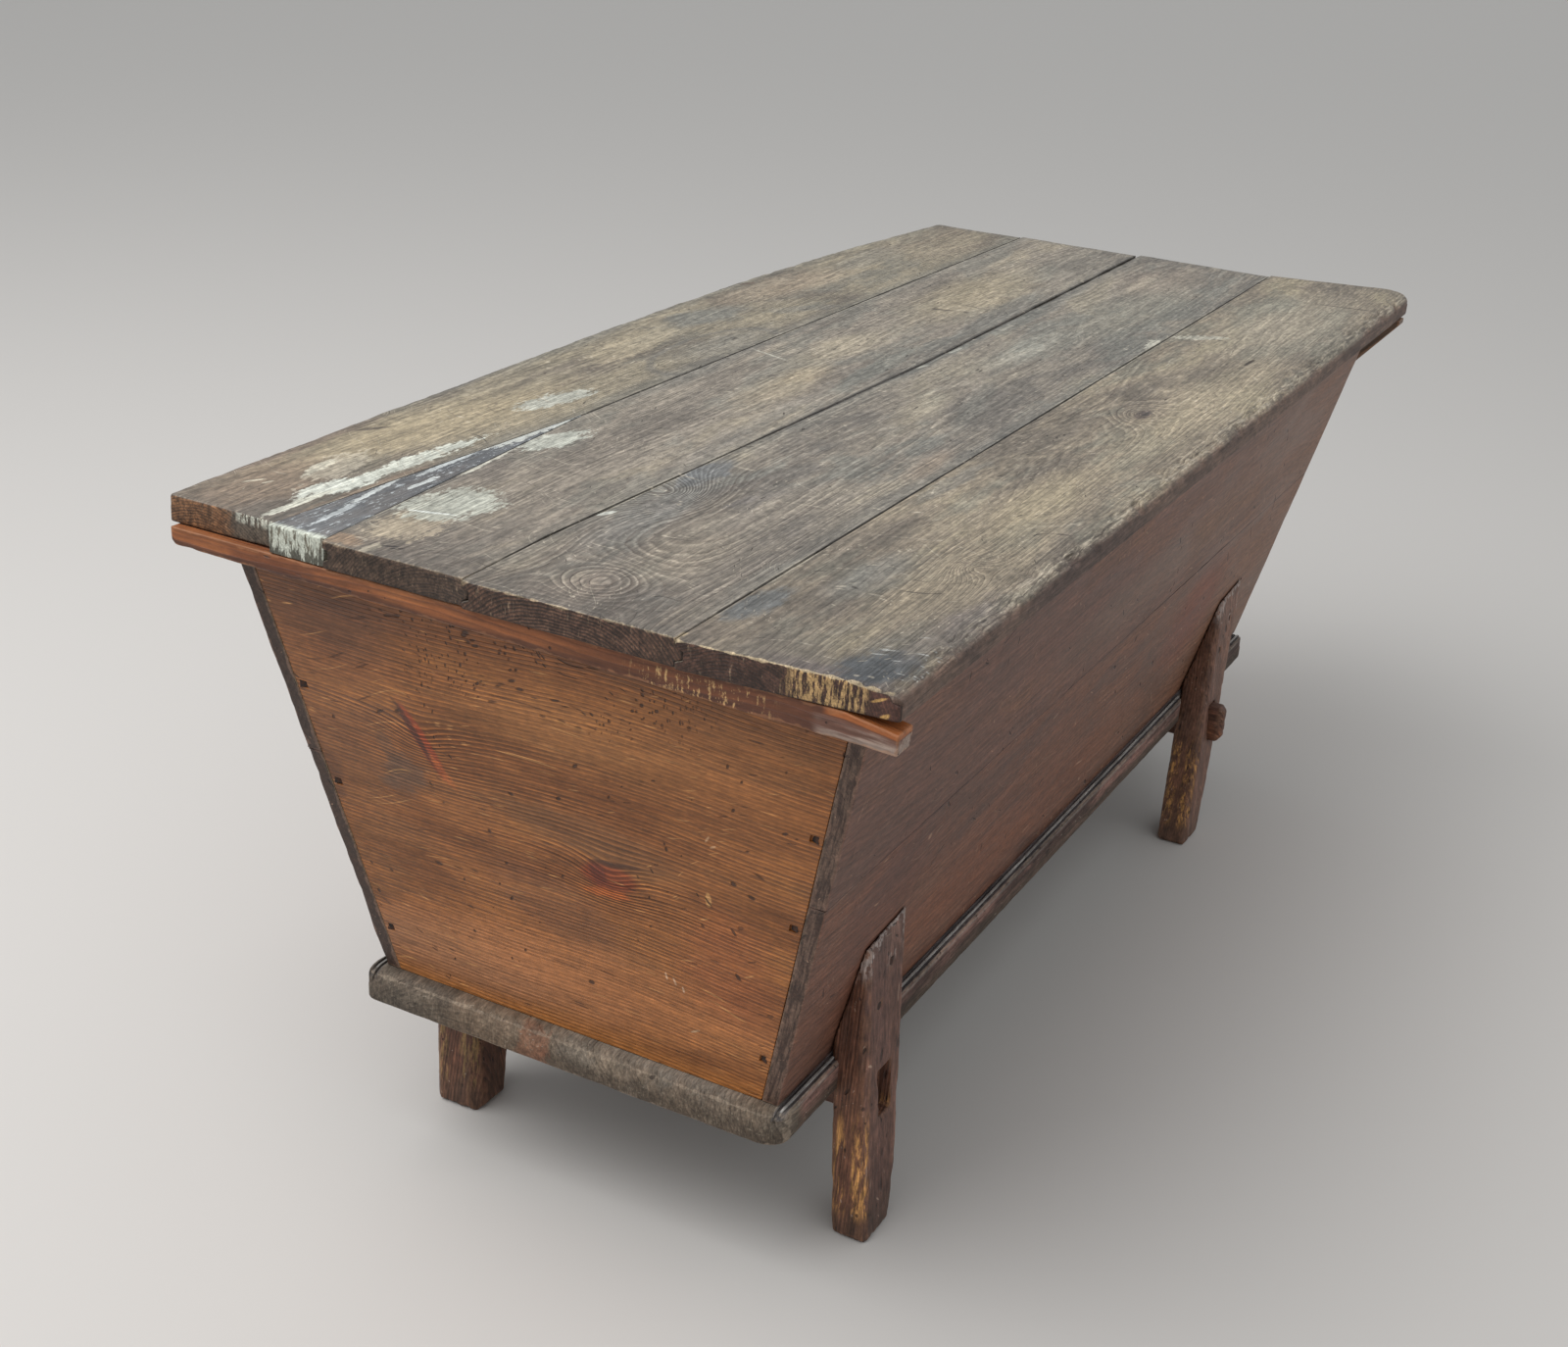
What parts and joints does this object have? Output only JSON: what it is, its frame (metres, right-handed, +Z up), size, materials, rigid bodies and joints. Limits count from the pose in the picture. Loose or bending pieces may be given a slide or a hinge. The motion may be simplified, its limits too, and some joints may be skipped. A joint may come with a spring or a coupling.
{
  "type": "dough bin",
  "caption": "Antique wooden dough bin: a flared nailed trough on racked legs with through-tenoned rails, under a lift-off plank lid with end battens.",
  "frame": {"origin": "on the floor below the middle of the lid", "axes": "+Z up; +X along the trough, away from the end with the repaired lid; +Y toward the left long side, seen from that end"},
  "size_m": [1.5683, 0.6935, 0.636],
  "materials": {
    "board_wood": "weathered softwood, grey along the moulded edge and ends, red-brown below",
    "end_panel_wood": "warm orange-brown varnished softwood, worn and stained",
    "side_board_wood": "dark mauve-brown stained softwood with nicks",
    "leg_wood": "red-brown stained softwood, worn light on the arrises",
    "nail_iron": "dark rusty hand-made iron",
    "lid_wood": "grey-brown weathered softwood, bare and stained",
    "lath_wood": "pale grey softwood with worn white paint",
    "batten_wood": "warm orange-brown varnished softwood"
  },
  "bodies": {
    "trough": {"bottom_board": "board_wood", "near_end_panel": "end_panel_wood", "far_end_panel": "end_panel_wood", "right_lower_side_board": "side_board_wood", "right_upper_side_board": "side_board_wood", "left_lower_side_board": "side_board_wood", "left_upper_side_board": "side_board_wood", "near_right_leg": "leg_wood", "near_left_leg": "leg_wood", "far_right_leg": "leg_wood", "far_left_leg": "leg_wood", "near_cross_rail": "leg_wood", "far_cross_rail": "leg_wood", "near_end_nails": "nail_iron", "far_end_nails": "nail_iron", "bottom_nails": "nail_iron", "leg_nails": "nail_iron"},
    "lid": {"lid_left_edge_plank": "lid_wood", "lid_left_middle_plank": "lid_wood", "lid_right_middle_plank": "lid_wood", "lid_right_edge_plank": "lid_wood", "lid_repair_lath": "lath_wood", "near_lid_batten": "batten_wood", "far_lid_batten": "batten_wood", "near_batten_nails": "nail_iron", "far_batten_nails": "nail_iron"}
  },
  "joints": [
    {"name": "lid_lift", "type": "slide", "parent": "trough", "child": "lid", "axis": [0, 0, 1], "range_m": [0, 0.3]}
  ]
}
